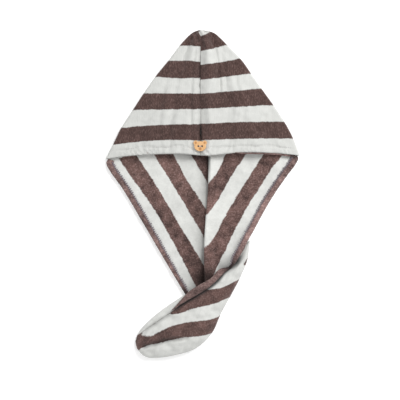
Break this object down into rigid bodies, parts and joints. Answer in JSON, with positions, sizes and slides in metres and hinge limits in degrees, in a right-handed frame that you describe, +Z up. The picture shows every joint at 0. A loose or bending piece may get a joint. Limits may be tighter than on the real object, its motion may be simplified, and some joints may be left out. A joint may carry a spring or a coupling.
{
  "type": "hair turban towel",
  "caption": "Striped fleece towel that wraps wet hair: a pointed head pocket, a straight brim, a back layer that narrows into a twisted tail, a bear-shaped wooden button and an elastic loop.",
  "frame": {"origin": "middle of the footprint's box on the table, at the height of the table", "axes": "+Y runs to the crown's tip and is the longest way, +X to the wearer's side with the far hem, +Z is up off the table and the thinnest way"},
  "size_m": [0.395, 0.6676, 0.0352],
  "materials": {
    "striped_fleece_left": "coral fleece with wide brown and off-white stripes",
    "striped_fleece_right": "coral fleece with wide brown and off-white stripes",
    "striped_fleece_tail": "coral fleece with wide brown and off-white stripes",
    "brown_fleece_left": "brown fleece with a whitish overlocked edge",
    "brown_fleece_right": "brown fleece with a whitish overlocked edge",
    "brown_fleece_brim": "brown fleece with a whitish overlocked edge",
    "light_wood": "smooth satin",
    "white_thread": "twisted thread",
    "white_elastic": "round covered elastic"
  },
  "bodies": {
    "root": {"left_half": "striped_fleece_left", "right_half": "striped_fleece_right", "tail": "striped_fleece_tail", "left_hem": "brown_fleece_left", "right_hem": "brown_fleece_right", "brim_hem": "brown_fleece_brim", "button": "light_wood", "button_thread": "white_thread", "elastic_loop": "white_elastic"}
  },
  "joints": []
}
